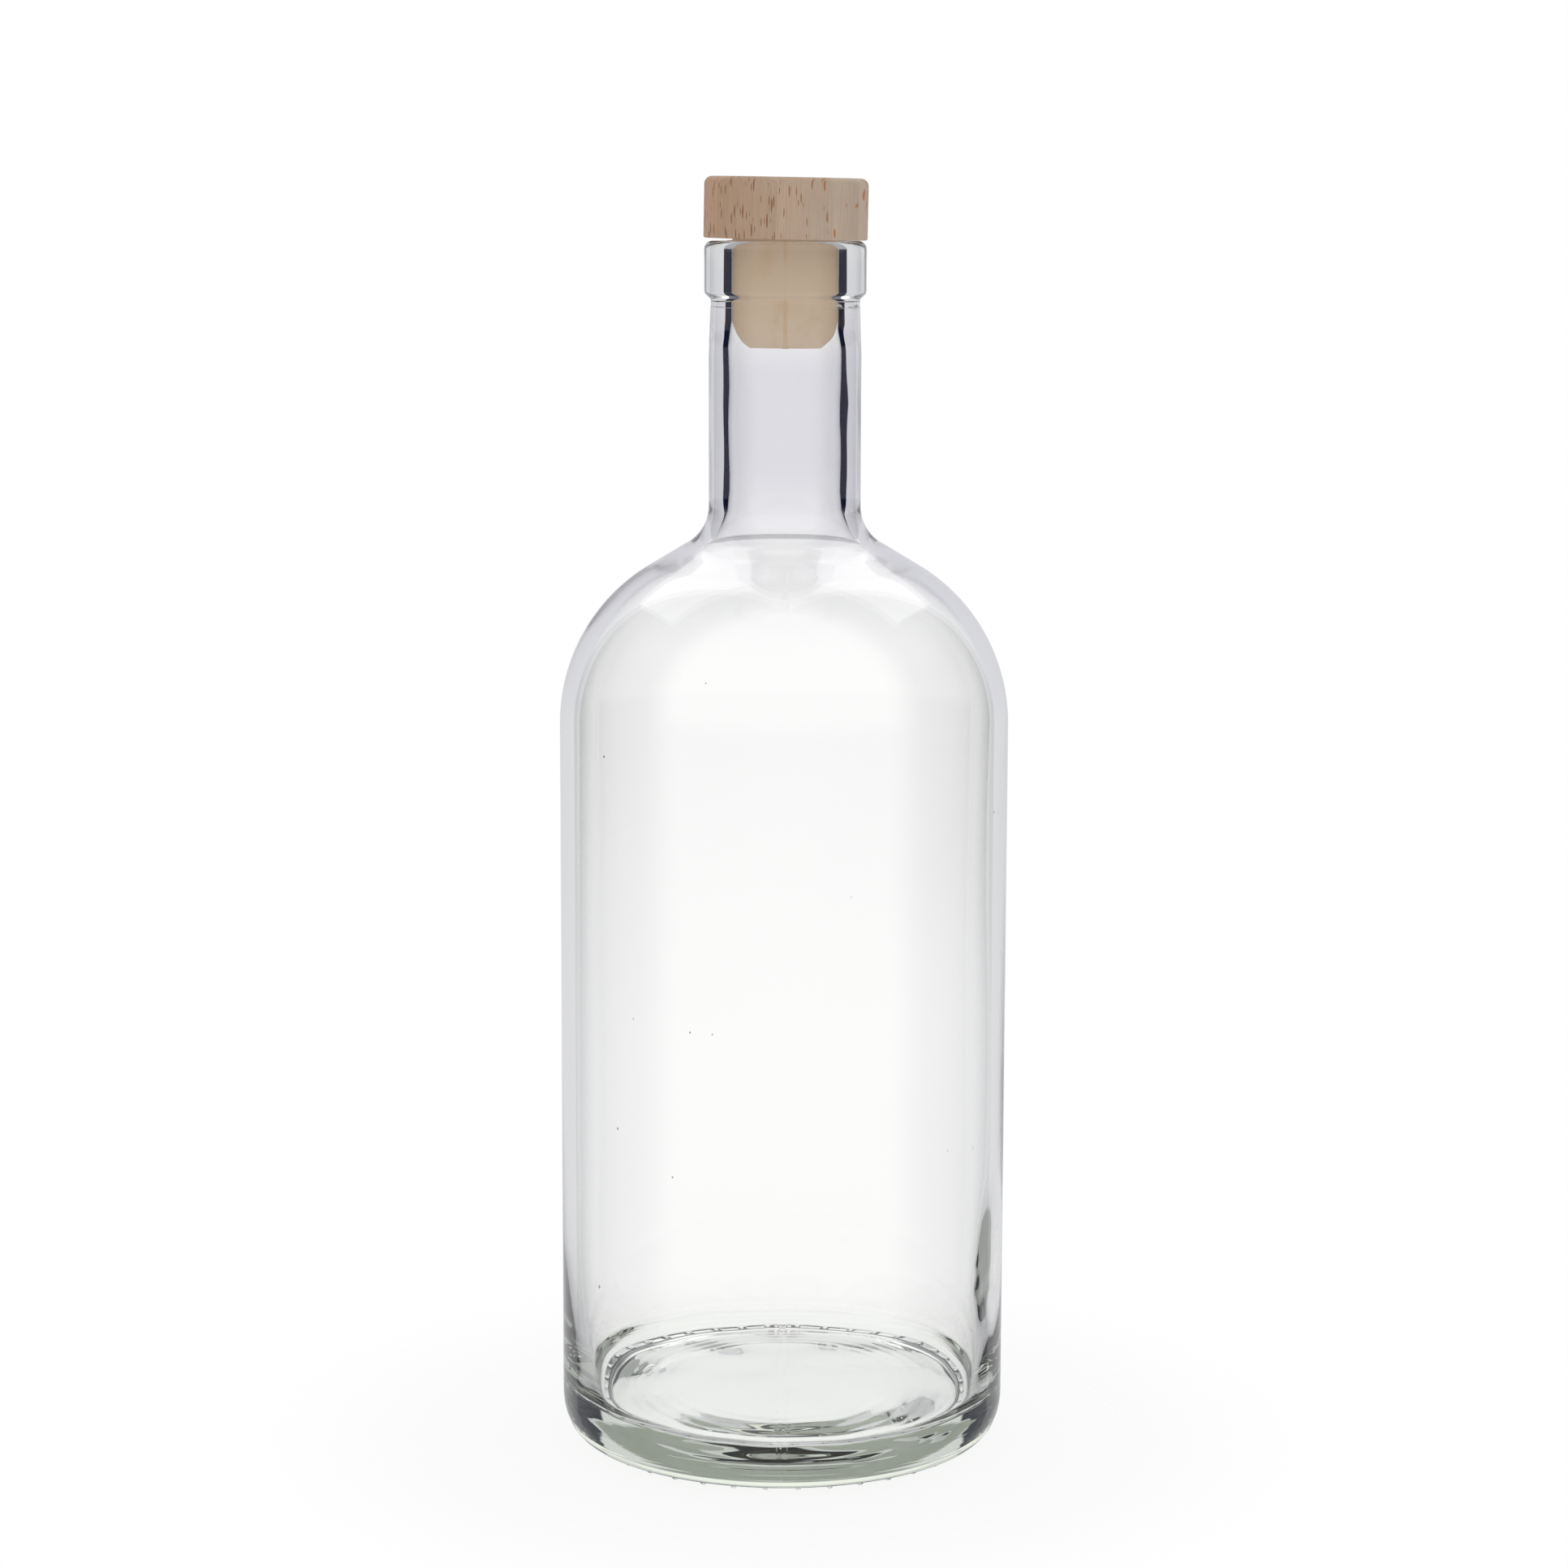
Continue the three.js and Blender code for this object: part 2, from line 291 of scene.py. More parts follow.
shankLook = {
    # painted shade: darker towards the top, where the shank sits under the head
    "top": "#ccb095",
    # paler at the tip, away from the head's shade
    "bottom": "#e0c5aa",
    "flow": "#c8955a",
    "seamHalf": 0.5,  # mm, half-width of the darker streak along the seam
    "cloud": 6.0,  # mm
    "grain": 0.12,  # mm, the mould's spark-eroded matt surface, drawn coarse enough to show
    "relief": 0.01,  # mm
}


def elastomer():
    look = shankLook
    material, tree = newTree("elastomer_moulded_matt")
    place = addNode(tree, "ShaderNodeTexCoord").outputs["Object"]
    parts = addNode(tree, "ShaderNodeSeparateXYZ", {}, {0: place})
    # painted shade: the colour darkens up the shank towards the head
    up = addNode(tree, "ShaderNodeMapRange", {}, {
        "Value": parts.outputs["Z"], "From Min": shankLow.z * mm, "From Max": bottleHigh.z * mm})
    ground = addNode(tree, "ShaderNodeMix", {"data_type": "RGBA"}, {
        0: up.outputs[0], 6: linear(look["bottom"]), 7: linear(look["top"])})
    clouds = addNode(tree, "ShaderNodeTexNoise", {}, {
        "Vector": place, "Scale": 1 / (look["cloud"] * mm), "Detail": 3.0, "Distortion": 0.6})
    offSeam = addNode(tree, "ShaderNodeMath", {"operation": "ABSOLUTE"}, {0: parts.outputs["X"]})
    nearSeam = addNode(tree, "ShaderNodeMapRange", {"interpolation_type": "SMOOTHSTEP"}, {
        "Value": offSeam.outputs[0], "From Min": look["seamHalf"] * mm, "From Max": 0.0, "To Max": 0.22})
    cloudy = addNode(tree, "ShaderNodeMath", {"operation": "ADD"}, {
        0: clouds.outputs["Fac"], 1: nearSeam.outputs[0]})
    flow = addNode(tree, "ShaderNodeMapRange", {"interpolation_type": "SMOOTHSTEP"}, {
        "Value": cloudy.outputs[0], "From Min": 0.5, "From Max": 0.8, "To Min": 0.0, "To Max": 0.4})
    colour = addNode(tree, "ShaderNodeMix", {"data_type": "RGBA"}, {
        0: flow.outputs[0], 6: ground.outputs[2], 7: linear(look["flow"])})
    grain = addNode(tree, "ShaderNodeTexNoise", {}, {
        "Vector": place, "Scale": 1 / (look["grain"] * mm), "Detail": 2.0})
    roughness = addNode(tree, "ShaderNodeMapRange", {}, {
        "Value": grain.outputs["Fac"], "To Min": 0.45, "To Max": 0.65})
    bump = addNode(tree, "ShaderNodeBump", {}, {
        "Height": grain.outputs["Fac"], "Distance": look["relief"] * mm, "Strength": 0.6})
    plastic = addNode(tree, "ShaderNodeBsdfPrincipled", {}, {
        "Base Color": colour.outputs[2], "Roughness": roughness.outputs[0], "Normal": bump.outputs[0]})
    addNode(tree, "ShaderNodeOutputMaterial", {}, {"Surface": plastic.outputs[0]})
    return material


# The bottle: one outline from the push-up round the heel, over the rim and down the inside. All
# lengths are in millimetres, and heights count from the table.

bottle = {
    "aroundSteps": 192,
    "heelDepth": 3.75,
    "heelHeight": 7.4,
    "shoulderStart": 135.9,
    "domeRadius": 34.0,
    "flareRadius": 8.0,
    "neckStart": 176.3,
    "neckRadius": 14.05,
    "ringLevel": 0.7,
    "ringInner": 35.7,
    "pushUpHeight": 3.4,
    "pushUpEdge": 32.5,
    "pushUpEdgeHeight": 2.1,
    "plateRing": (2.3, 0.007),  # mm, spacing and height of the rings left by the turned base plate
    "plateRingFrom": 0.62,  # share of the push-up's radius where they begin to show
    "heelRing": (1.15, 0.006),  # the same of the lines round the heel
    "plateSeam": (2.6, 0.3, 0.05),  # height, half-width and rise of the line between plate and mould
    "stippleCount": 40,
    "stippleSize": (1.6, 1.0, 1.0),  # along the radius, across, and up into the glass
    "stippleRound": 0.34,  # rounding of their lower edges
    "beadRadius": 14.9,
    "beadEdge": 1.5,
    "beadLowerEdge": 1.2,
    "beadLowerHeight": 215.9,
    "beadSlope": 50,
    "collarRadius": 13.7,
    "collarHollow": 1.1,
    "collarHeight": 213.8,
    "partingHeight": 212.9,
    "partingStep": 0.05,
    "neckFullHeight": 204.0,
    "boreRadius": 9.85,
    "boreEdge": 1.4,
    "boreEnd": 210.5,
    "neckBoreRadius": 10.37,
    "neckBoreStart": 204.8,
    "innerFlareRadius": 16.0,
    "innerFlareHeight": 179.5,
    "wall": 2.8,
    "taperTop": 38.0,  # the inside narrows below this height: the wall grows thicker towards the heel
    "footRadius": 37.7,
    "footHeight": 12.4,
    "footLean": (-0.01, 0.035),  # it stands lower on the right and in front
    "footLeanFrom": (28, 34),  # radii over which the lean grows
    "footLeanReach": 8,  # and how far above the foot it ends
    "floorRadius": 33.6,
    "floorHeight": 9.2,
    "floorCrown": 1.6,
    "seamWidth": 0.2,  # half-width of the mould's seam line
    "seamHeight": 0.05,
    "seamFrom": 3,  # the base plate has none
    "innerWave": 0.14,  # mm, unevenness of the blown inside
    "outerWave": 0.02,
    "waveLength": 24.0,
    "boreWave": 0.09,
    "boreWaveSize": (4, 4, 7),
    "floorWave": 0.35,
    "floorWaveLength": 11,
    "floorWaveReach": 12,  # above the floor, where that unevenness ends
    "partingMark": (66, 12, 0.3),  # thick place on that line: degrees from the front, half-width, mm
    "bulge": (72, 35.2, 0.64),  # thick place low in the right wall: degrees from the front, height, mm
    "bulgeSize": (5.2, 9.0),
    "bulgeLumps": (0.2, 2.5),  # share that it varies by, and over what length
}


def outerOutline():
    b = bottle
    radius = bottleHigh.x
    crown = b["pushUpHeight"] - b["pushUpEdgeHeight"]
    spacing, rise = b["plateRing"]
    points = []
    for i in range(91):
        share = i / 90
        ring = rise * math.cos(2 * math.pi * b["pushUpEdge"] * share / spacing)
        ring *= share > b["plateRingFrom"]
        height = b["pushUpEdgeHeight"] + crown * (1 - share * share) + ring
        points.append((b["pushUpEdge"] * share, height))
    ringStart = (b["ringInner"], b["ringLevel"])
    points += curve(points[-1], (b["ringInner"] - 0.7, b["pushUpEdgeHeight"] - 0.25), ringStart, 8)
    heel = (radius - b["heelDepth"], b["ringLevel"] + b["heelHeight"])
    points += line(ringStart, (heel[0], b["ringLevel"]), 3)
    for r, z in arc(heel, (b["heelDepth"], b["heelHeight"]), -90, 0, 40):
        away = (z - b["plateSeam"][0]) / b["plateSeam"][1]
        rise = b["plateSeam"][2] * math.exp(-away * away)
        rise += b["heelRing"][1] * math.cos(2 * math.pi * z / b["heelRing"][0])
        points.append((r + rise * (r < radius - 0.1), z))
    points += line(points[-1], (radius, b["shoulderStart"]), 32)
    dome = (radius - b["domeRadius"], b["shoulderStart"])
    flare = (b["neckRadius"] + b["flareRadius"], b["neckStart"])
    angle = tangentAngle(dome, flare, b["domeRadius"] + b["flareRadius"])
    points += arc(dome, (b["domeRadius"],) * 2, 0, angle, 28)
    points += arc(flare, (b["flareRadius"],) * 2, 180 + angle, 180, 14)
    points += line(points[-1], (b["neckRadius"], b["neckFullHeight"]), 7)
    partingOut = (b["collarRadius"] + b["partingStep"], b["partingHeight"] - b["partingStep"])
    points += line(points[-1], partingOut, 3)
    points += [(b["collarRadius"], b["partingHeight"])]
    hollow = (b["collarRadius"] + b["collarHollow"], b["collarHeight"])
    points += arc(hollow, (b["collarHollow"],) * 2, 180, 180 - b["beadSlope"], 7)
    under = (b["beadRadius"] - b["beadLowerEdge"], b["beadLowerHeight"])
    points += arc(under, (b["beadLowerEdge"],) * 2, -b["beadSlope"], 0, 7)
    rim = (b["beadRadius"] - b["beadEdge"], bottleHigh.z - b["beadEdge"])
    points += arc(rim, (b["beadEdge"],) * 2, 0, 90, 10)
    return withoutRepeats(points)


def innerOutline():
    b = bottle
    radius = bottleHigh.x
    mouth = (b["boreRadius"] + b["boreEdge"], bottleHigh.z - b["boreEdge"])
    points = arc(mouth, (b["boreEdge"],) * 2, 90, 180, 10)
    for i in range(9):  # the bore opens out along half a cosine wave
        share = i / 8
        widening = (1 - math.cos(math.pi * share)) / 2
        points.append((b["boreRadius"] + (b["neckBoreRadius"] - b["boreRadius"]) * widening,
                       b["boreEnd"] + (b["neckBoreStart"] - b["boreEnd"]) * share))
    points += line(points[-1], (b["neckBoreRadius"], b["innerFlareHeight"]), 8)
    innerDome = b["domeRadius"] - b["wall"]
    dome = (radius - b["domeRadius"], b["shoulderStart"])
    flare = (b["neckBoreRadius"] + b["innerFlareRadius"], b["innerFlareHeight"])
    angle = tangentAngle(dome, flare, innerDome + b["innerFlareRadius"])
    points += arc(flare, (b["innerFlareRadius"],) * 2, 180, 180 + angle, 16)
    points += arc(dome, (innerDome,) * 2, angle, 0, 24)
    points += line(points[-1], (radius - b["wall"], b["taperTop"]), 20)
    foot = (b["footRadius"], b["footHeight"])
    points += curve(points[-1], (radius - b["wall"], (b["taperTop"] + b["footHeight"]) / 2), foot, 28)
    floorEdge = (b["floorRadius"], b["floorHeight"])
    points += curve(foot, (b["footRadius"] - 0.3, b["floorHeight"]), floorEdge, 14)
    shares = [1 - i / 12 for i in range(13)]
    points += [(b["floorRadius"] * s, b["floorHeight"] + b["floorCrown"] * (1 - s * s)) for s in shares]
    return withoutRepeats(points)


def frontAngle(place):
    return math.degrees(math.atan2(place.x, -place.y))


def unevenGlass(bm):
    # the mould side is nearly true, the blown inside wanders and the floor is lumpy
    b = bottle
    inner = bm.verts.layers.float["innerWall"]
    boreScale = Vector([1 / size for size in b["boreWaveSize"]])
    markAngle, markHalf, markRise = b["partingMark"]
    bulgeAngle, bulgeHeight, bulgeRise = b["bulge"]
    lumpShare, lumpLength = b["bulgeLumps"]
    bm.normal_update()
    for vert in bm.verts:
        place = vert.co / mm
        if vert[inner] < 0.5:
            amount = b["outerWave"] * noise.noise(place / b["waveLength"])
            if place.z < b["ringLevel"] + 0.5 or place.z > b["partingHeight"] - 1:
                amount = 0
            if abs(place.z - b["partingHeight"] + b["partingStep"]) < b["partingStep"] + 0.02:
                away = (frontAngle(place) - markAngle) / markHalf
                amount = markRise * max(0.0, 1 - away ** 4)
        elif place.z > b["innerFlareHeight"]:
            amount = b["boreWave"] * noise.noise(place * boreScale)
            amount *= 1.0 if place.z < b["boreEnd"] - 1 else 0.4 * (place.z < bottleHigh.z - 4)
        else:
            spot = Vector((place.x, place.y, place.z * 0.6))
            swell = noise.noise(spot / b["waveLength"] + Vector((3, 7, 1)))
            low = max(0.0, 1 - (place.z - b["floorHeight"]) / b["floorWaveReach"])
            amount = b["innerWave"] * swell
            amount += low * b["floorWave"] * noise.noise(place / b["floorWaveLength"])
            across = math.radians(frontAngle(place) - bulgeAngle) * place.xy.length / b["bulgeSize"][0]
            up = (place.z - bulgeHeight) / b["bulgeSize"][1]
            if place.xy.length > b["footRadius"]:
                lumps = 1.0 + lumpShare * noise.noise(spot / lumpLength)
                amount += bulgeRise * lumps * math.exp(-across * across - up * up)
            leanShare = ramp(place.xy.length, *b["footLeanFrom"])
            leanShare *= ramp(place.z, b["footHeight"] + b["footLeanReach"], b["footHeight"])
            vert.co.z += (place.x * b["footLean"][0] + place.y * b["footLean"][1]) * leanShare * mm
        vert.co += vert.normal * amount * mm


def addSeams(bm):
    # the mould's two halves meet at the front and back: a narrow raised line up the outside
    b = bottle
    inner = bm.verts.layers.float["innerWall"]

    def onSeam(vert):
        return (abs(vert.co.x) < 0.01 * mm and vert[inner] < 0.5 and abs(vert.co.y) > 5 * mm
                and b["seamFrom"] * mm < vert.co.z < (b["partingHeight"] - 0.2) * mm)

    edges = [e for e in bm.edges if onSeam(e.verts[0]) and onSeam(e.verts[1])]
    bmesh.ops.bevel(bm, geom=edges, offset=b["seamWidth"] * mm, offset_type="OFFSET", segments=2,
                    profile=0.5, affect="EDGES", material=-1, clamp_overlap=True)
    bm.normal_update()
    for vert in bm.verts:
        if onSeam(vert):
            vert.co += vert.normal * b["seamHeight"] * mm


def stippleRing():
    # short bars along the radius, rounded underneath, that the bottle stands on
    b = bottle
    length, width, height = [s * mm for s in b["stippleSize"]]
    bm = bmesh.new()
    bmesh.ops.create_cube(bm, size=1.0)
    bmesh.ops.scale(bm, vec=(length, width, height), verts=bm.verts)
    lower = [e for e in bm.edges if all(v.co.z < 0 for v in e.verts)]
    bmesh.ops.bevel(bm, geom=lower, offset=b["stippleRound"] * mm, offset_type="OFFSET", segments=3,
                    profile=0.5, affect="EDGES", material=-1)
    middle = (b["ringInner"] + bottleHigh.x - b["heelDepth"]) / 2 * mm
    bmesh.ops.translate(bm, vec=(middle, 0, height / 2), verts=bm.verts)
    first = bm.verts[:] + bm.edges[:] + bm.faces[:]
    half = math.pi / b["stippleCount"]
    bmesh.ops.rotate(bm, cent=(0, 0, 0), matrix=Matrix.Rotation(half, 3, "Z"), verts=bm.verts)
    for i in range(1, b["stippleCount"]):
        copy = bmesh.ops.duplicate(bm, geom=first)["geom"]
        copied = [v for v in copy if isinstance(v, bmesh.types.BMVert)]
        bmesh.ops.rotate(bm, cent=(0, 0, 0), matrix=Matrix.Rotation(2 * half * i, 3, "Z"), verts=copied)
    bmesh.ops.recalc_face_normals(bm, faces=bm.faces)
    return bm


def buildBottle(material):
    outer = outerOutline()
    bm = spinOutline(outer + innerOutline()[1:], bottle["aroundSteps"], insideFrom=len(outer))
    unevenGlass(bm)
    addSeams(bm)
    piece = makePiece("glass_bottle", bm, material)
    ring = makePiece("stipples", stippleRing(), material)
    union = piece.modifiers.new("stipples", "BOOLEAN")
    union.operation = "UNION"
    union.object = ring
    union.solver = "MANIFOLD"
    scene.view_layers[0].update()
    joined = bpy.data.meshes.new_from_object(piece.evaluated_get(bpy.context.evaluated_depsgraph_get()))
    piece.modifiers.clear()
    piece.data = joined
    bpy.data.objects.remove(ring)
    joined.name = "glass_bottle"
    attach(piece, "container")
    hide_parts("bottle")
    print("bottle:", len(joined.polygons), "faces")
    return piece


# Seeds: the few tiny gas bubbles that show in the wall

seeds = {
    "size": (0.09, 0.2),  # mm, radius
    "stretch": 1.8,  # the longest are this much taller than wide
    "depth": 1.4,  # mm under the outer skin
    "places": ((-20, 148), (-52, 133), (-24, 85), (-18, 85), (-47, 65), (47, 61), (58, 60), (-29, 58),
               (-55, 34), (72, 121), (160, 96), (-130, 74)),  # degrees from the front, height
}


def buildSeeds(material):
    draw = random.Random(11)
    bm = bmesh.new()
    radius = bottleHigh.x - seeds["depth"]
    for degrees, height in seeds["places"]:
        angle = math.radians(degrees)
        made = bmesh.ops.create_icosphere(bm, subdivisions=2, radius=draw.uniform(*seeds["size"]) * mm)
        bmesh.ops.scale(bm, vec=(1, 1, draw.uniform(1.0, seeds["stretch"])), verts=made["verts"])
        place = Vector((radius * math.sin(angle), -radius * math.cos(angle), height)) * mm
        bmesh.ops.translate(bm, vec=place, verts=made["verts"])
    piece = makePiece("glass_seeds", bm, material)
    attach(piece, "container")
    return piece


def seedGas():
    # gas in glass: light meets it from the denser side, so the index is below one
    material, tree = newTree("gas_seed_in_glass")
    place = addNode(tree, "ShaderNodeTexCoord").outputs["Object"]
    skin = addNode(tree, "ShaderNodeTexNoise", {}, {"Vector": place, "Scale": 1 / (0.2 * mm)})
    rough = addNode(tree, "ShaderNodeMapRange", {}, {
        "Value": skin.outputs["Fac"], "To Min": 0.0, "To Max": 0.1})
    gas = addNode(tree, "ShaderNodeBsdfPrincipled", {}, {
        "Base Color": linear("#d8dcdc"), "Roughness": rough.outputs[0], "IOR": 0.66,
        "Transmission Weight": 1.0})
    addNode(tree, "ShaderNodeOutputMaterial", {}, {"Surface": gas.outputs[0]})
    return material


# The stopper: a turned head with a blind hole, and the moulded shank that is glued into it

head = {
    "steps": 128,
    "tilt": 0.9,  # degrees, glued on slightly askew: lower on the right
    "topEdge": 1.4,
    "lowerEdge": 0.35,
    "recessDepth": 3.0,
    "glueGap": 0.15,
}

shank = {
    "steps": 96,
    "topEdge": 0.4,
    "leadHeight": 5.2,
    "leadRadius": 6.85,
    "leadSwell": (1.95, 2.2),  # mm out and up: the point that bends the lead-in's curve
    "tipEdge": 0.5,
    "seamWidth": 0.16,
    "seamHeight": 0.05,
    "gateRadius": 0.55,  # nub left where the plastic came in
    "gateHeight": 0.3,
}


def buildHead(material):
    bottom, top, radius = headLow.z, headHigh.z, headHigh.x
    hole = shankHigh.x + head["glueGap"]
    points = line((0, bottom + head["recessDepth"]), (hole, bottom + head["recessDepth"]), 4)
    points += line(points[-1], (hole, bottom), 3)
    points += line((hole, bottom), (radius - head["lowerEdge"], bottom), 4)
    lower, upper = head["lowerEdge"], head["topEdge"]
    points += arc((radius - lower, bottom + lower), (lower, lower), -90, 0, 4)
    points += line(points[-1], (radius, top - upper), 6)
    points += arc((radius - upper, top - upper), (upper, upper), 0, 90, 10)
    points += line(points[-1], (0, top), 6)
    bm = spinOutline(withoutRepeats(points), head["steps"])
    lean = Matrix.Rotation(math.radians(head["tilt"]), 3, "Y")
    bmesh.ops.rotate(bm, cent=(0, 0, bottom * mm), matrix=lean, verts=bm.verts)
    piece = makePiece("beech_head", bm, material)
    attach(piece, "stopper")
    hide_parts("stopper_head")
    return piece


def buildShank(material):
    s = shank
    bottom, top, radius = shankLow.z, shankHigh.z, shankHigh.x
    gate = bottom + 0.02
    points = line((0, gate), (s["gateRadius"], gate), 2)
    end = gate + s["gateHeight"]
    points += line((s["gateRadius"] * 1.15, end), (s["leadRadius"] - s["tipEdge"], end), 3)
    tip = (s["leadRadius"] - s["tipEdge"], end + s["tipEdge"])
    points += arc(tip, (s["tipEdge"],) * 2, -90, -30, 5)
    swell = (s["leadRadius"] + s["leadSwell"][0], bottom + s["leadSwell"][1])
    points += curve(points[-1], swell, (radius, bottom + s["leadHeight"]), 12)
    points += line(points[-1], (radius, top - s["topEdge"]), 10)
    points += arc((radius - s["topEdge"], top - s["topEdge"]), (s["topEdge"],) * 2, 0, 90, 4)
    points += line(points[-1], (0, top), 3)
    bm = spinOutline(withoutRepeats(points), s["steps"])

    def onSeam(vert):
        return abs(vert.co.x) < 0.01 * mm and abs(vert.co.y) > 6 * mm and vert.co.z < bottleHigh.z * mm

    edges = [e for e in bm.edges if onSeam(e.verts[0]) and onSeam(e.verts[1])]
    bmesh.ops.bevel(bm, geom=edges, offset=s["seamWidth"] * mm, offset_type="OFFSET", segments=2,
                    profile=0.5, affect="EDGES", material=-1, clamp_overlap=True)
    bm.normal_update()
    for vert in bm.verts:
        if onSeam(vert):
            vert.co += vert.normal * s["seamHeight"] * mm
    piece = makePiece("moulded_shank", bm, material)
    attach(piece, "stopper")
    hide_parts("stopper_shank")
    return piece


# The studio: a white sweep behind and below, dark sides that draw the glass's edges, and two
# softboxes overhead.

studio = {
    "paper": "#ffffff",
    "through": "#ffffff",  # the paper as it shows through the glass
    "backHigh": "#dcdce2",  # the same paper as the glass mirrors it
    "backLow": "#e0e0e3",
    "side": "#14162a",
    "front": "#cdcdd0",
    "table": "#f4f4f4",  # the white table all round, as the glass mirrors it
    "tableSide": "#a8a8ae",
    "backTop": "#1c2032",  # the room over the paper's upper edge, which the thick base picks up
    "above": "#9c9ca4",
    "aboveFront": "#ffffff",
    "lightLevel": 0.8,  # what all rays get that neither pass nor mirror in the glass
    "deepLevel": 0.8,  # how much of it is left after two or more reflections inside the glass
    "backHalfWidth": 43,  # degrees either side of straight behind
    "backSoftness": 2,
    "frontFrom": (96, 122),  # degrees from straight behind
    "horizonBand": (-0.115, -0.045),  # where the paper turns from bright to less bright
    "tableBand": (-0.23, -0.125),
    "paperTop": (0.17, 0.24),
    "aboveBand": (0.35, 0.7),
    "aboveFrontBand": (-0.06, 0.25),
    "floorRadius": 0.9,  # m
    "floorFade": (0.046, 0.11),  # m from the axis, where the paper goes over into bare white
    "floorFaintness": 0.68,  # share of bare white that is mixed into the bottle's shadow
    "floorDeepFade": (0.1, 0.2),  # m, the same fade as the thick base shows it
    "floorColour": "#ffffff",
    "floorShadeMirrored": "#d2d2d2",  # painted shade: the paper close to the bottle is drawn grey where its glass mirrors it, for the bottle's shade on it
    "floorShadeDeep": "#a2a5a2",  # painted shade: darker still where it comes through the thick base, for the shade under the bottle
}

softboxes = {
    "height": 0.75,  # m above the table
    "overShoulder": 0.165,
    "across": 0.79,  # width, length and place are shares of the height above the shoulder
    "along": 1.05,
    "centre": (0.63, 0.76),
    "turn": 12,
    "brightness": 0.7,
}


def buildWorld():
    world = bpy.data.worlds.new("studio")
    scene.world = world
    world.use_nodes = True
    tree = world.node_tree
    tree.nodes.clear()
    way = addNode(tree, "ShaderNodeTexCoord").outputs["Generated"]
    parts = addNode(tree, "ShaderNodeSeparateXYZ", {}, {0: way})
    path = addNode(tree, "ShaderNodeLightPath")
    turn = addNode(tree, "ShaderNodeMath", {"operation": "ARCTAN2"}, {
        0: parts.outputs["X"], 1: parts.outputs["Y"]})
    away = addNode(tree, "ShaderNodeMath", {"operation": "ABSOLUTE"}, {0: turn.outputs[0]})

    def step(value, band):
        return addNode(tree, "ShaderNodeMapRange", {"interpolation_type": "SMOOTHSTEP"}, {
            "Value": value, "From Min": band[0], "From Max": band[1]}).outputs[0]

    def mix(share, first, second):
        return addNode(tree, "ShaderNodeMix", {"data_type": "RGBA"}, {
            0: share, 6: first, 7: second}).outputs[2]

    def tone(name):
        return linear(studio[name])

    def degrees(low, high):
        return math.radians(low), math.radians(high)

    backEdge = studio["backHalfWidth"]
    sideShare = step(away.outputs[0], degrees(backEdge, backEdge + studio["backSoftness"]))
    frontShare = step(away.outputs[0], degrees(*studio["frontFrom"]))
    highShare = step(parts.outputs["Z"], studio["horizonBand"])
    upShare = step(parts.outputs["Z"], studio["aboveBand"])
    twice = addNode(tree, "ShaderNodeMath", {"operation": "GREATER_THAN"}, {
        0: path.outputs["Glossy Depth"], 1: 1.5}).outputs[0]
    topShare = addNode(tree, "ShaderNodeMath", {"operation": "MULTIPLY"}, {
        0: step(parts.outputs["Z"], studio["paperTop"]), 1: twice}).outputs[0]
    back = mix(topShare, mix(highShare, tone("backLow"), tone("backHigh")), tone("backTop"))
    front = mix(step(parts.outputs["Z"], studio["aboveFrontBand"]), tone("front"), tone("aboveFront"))
    walls = mix(frontShare, mix(sideShare, back, tone("side")), front)
    tableShare = step(parts.outputs["Z"], studio["tableBand"])
    table = mix(frontShare, mix(sideShare, tone("backLow"), tone("tableSide")), tone("table"))
    ceiling = mix(frontShare, mix(sideShare, tone("aboveFront"), tone("above")), tone("aboveFront"))
    mirrored = mix(upShare, mix(tableShare, table, walls), ceiling)
    level = (studio["lightLevel"],) * 3 + (1.0,)
    deep = addNode(tree, "ShaderNodeMapRange", {}, {
        "Value": twice, "To Min": 1.0, "To Max": studio["deepLevel"]})
    mirrored = addNode(tree, "ShaderNodeVectorMath", {"operation": "SCALE"}, {
        0: mirrored, "Scale": deep.outputs[0]}).outputs[0]
    wasMirrored = addNode(tree, "ShaderNodeMath", {"operation": "GREATER_THAN"}, {
        0: path.outputs["Glossy Depth"], 1: 0.5})
    isSharp = addNode(tree, "ShaderNodeMath", {"operation": "MULTIPLY"}, {
        0: wasMirrored.outputs[0], 1: path.outputs["Is Glossy Ray"]})
    seen = mix(path.outputs["Is Transmission Ray"], level, tone("through"))
    seen = mix(isSharp.outputs[0], seen, mirrored)
    seen = mix(path.outputs["Is Camera Ray"], seen, tone("paper"))
    sky = addNode(tree, "ShaderNodeBackground", {}, {"Color": seen, "Strength": 1.0})
    addNode(tree, "ShaderNodeOutputWorld", {}, {"Surface": sky.outputs[0]})


